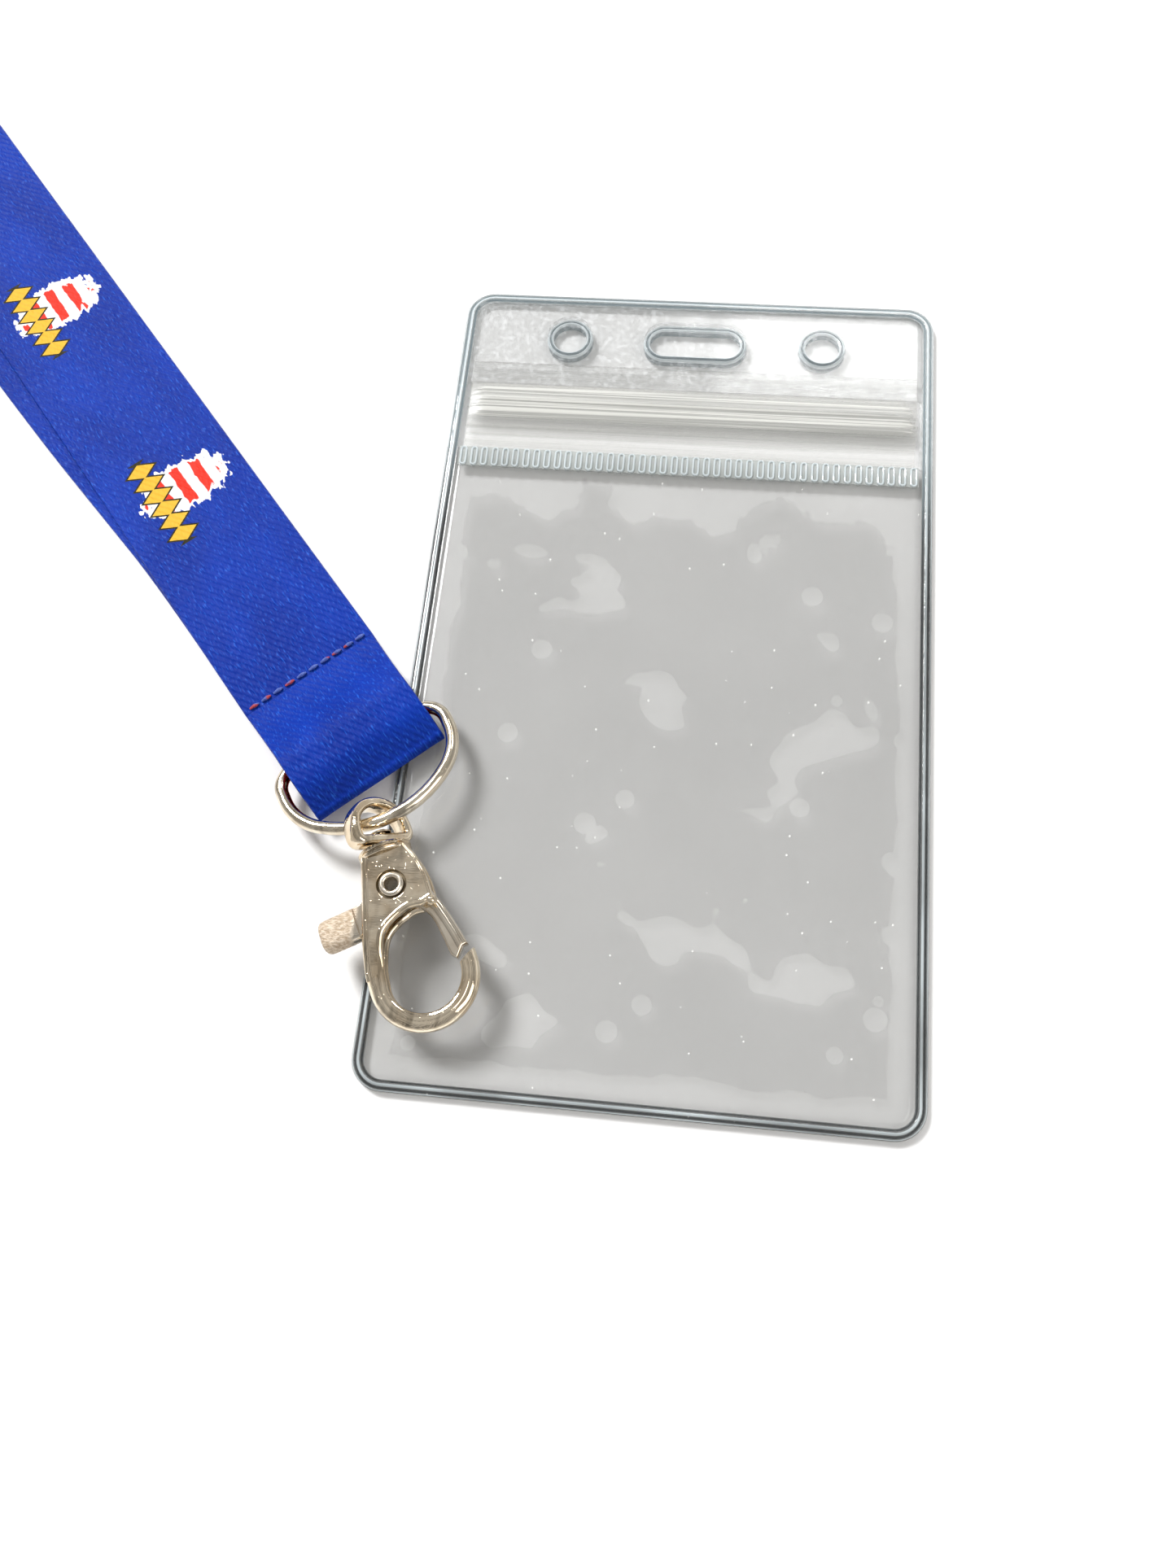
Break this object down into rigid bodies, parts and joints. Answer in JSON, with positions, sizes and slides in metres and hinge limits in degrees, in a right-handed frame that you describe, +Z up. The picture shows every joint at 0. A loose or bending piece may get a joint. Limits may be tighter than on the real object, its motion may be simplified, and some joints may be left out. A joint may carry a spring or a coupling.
{
  "type": "lanyard badge holder",
  "caption": "Clear zip badge pouch with a punched header, lying beside a snap hook on a D-ring and a flat ribbon neck lanyard.",
  "frame": {"origin": "centre of the pouch's back face, on the surface it lies on", "axes": "+X right across the pouch, +Y along the pouch towards its punched header, +Z up out of the window"},
  "size_m": [0.3637, 0.1925, 0.02],
  "materials": {
    "clear_film": "clear flexible PVC film, glossy, slightly wavy",
    "zip_film": "milky translucent extruded zip profile",
    "weld_film": "whitened high-frequency weld, ribbed",
    "ribbon": "royal blue satin woven ribbon",
    "thread": "polyester sewing thread",
    "nickel_wire": "nickel-plated bent wire",
    "nickel_cast": "nickel-plated zinc casting, polished",
    "nickel_lever": "nickel-plated casting, dull and slightly rough at the thumb tab",
    "rivet_steel": "hollow rivet, plated steel",
    "spring_steel": "spring wire"
  },
  "bodies": {
    "pouch": {"back_panel": "clear_film", "front_window": "clear_film", "header_film": "clear_film", "zip_groove_strip": "zip_film", "ribbed_weld_band": "weld_film", "edge_bead": "weld_film", "slot_weld_ring": "weld_film", "hole_ring_left": "weld_film", "hole_ring_right": "weld_film"},
    "zip_lip": {"zip_rib_strip": "zip_film"},
    "strap": {"strap_upper_flat": "ribbon", "strap_upper_twist": "ribbon", "strap_upper_neck": "ribbon", "strap_lower_flat": "ribbon", "strap_lower_twist": "ribbon", "strap_lower_neck": "ribbon", "end_loop": "ribbon", "stitch_row": "thread"},
    "ring": {"d_ring": "nickel_wire"},
    "eye": {"swivel_eye": "nickel_cast"},
    "clasp": {"clasp_body": "nickel_cast", "lever_rivet": "rivet_steel", "lever_spring": "spring_steel"},
    "gate": {"lever": "nickel_lever"}
  },
  "joints": [
    {"name": "zip_open", "type": "hinge", "parent": "pouch", "child": "zip_lip", "pos_m": [0, 0.0312, 0.001], "axis": [1, 0, 0], "range_deg": [0, 30]},
    {"name": "strap_lift", "type": "slide", "parent": "pouch", "child": "strap", "axis": [0, 0, 1], "range_m": [0, 0.08]},
    {"name": "ring_flip", "type": "hinge", "parent": "strap", "child": "ring", "pos_m": [-0.0392, -0.0145, 0.0029], "axis": [-0.8508, -0.5255, 0], "range_deg": [0, 110]},
    {"name": "eye_tilt", "type": "hinge", "parent": "ring", "child": "eye", "pos_m": [-0.03432, -0.02625, 0.00521], "axis": [-0.9184, -0.3947, -0.0269], "range_deg": [0, 80]},
    {"name": "clasp_swivel", "type": "hinge", "parent": "eye", "child": "clasp", "pos_m": [-0.03275, -0.02955, 0.0053], "axis": [0.4305, -0.9026, 0], "range_deg": [-20, 20]},
    {"name": "gate_open", "type": "hinge", "parent": "clasp", "child": "gate", "pos_m": [-0.03065, -0.03437, 0.0053], "axis": [0, 0, -1], "range_deg": [0, 26], "stiffness_Nm_per_rad": 0.004, "springref_deg": -28.65}
  ]
}
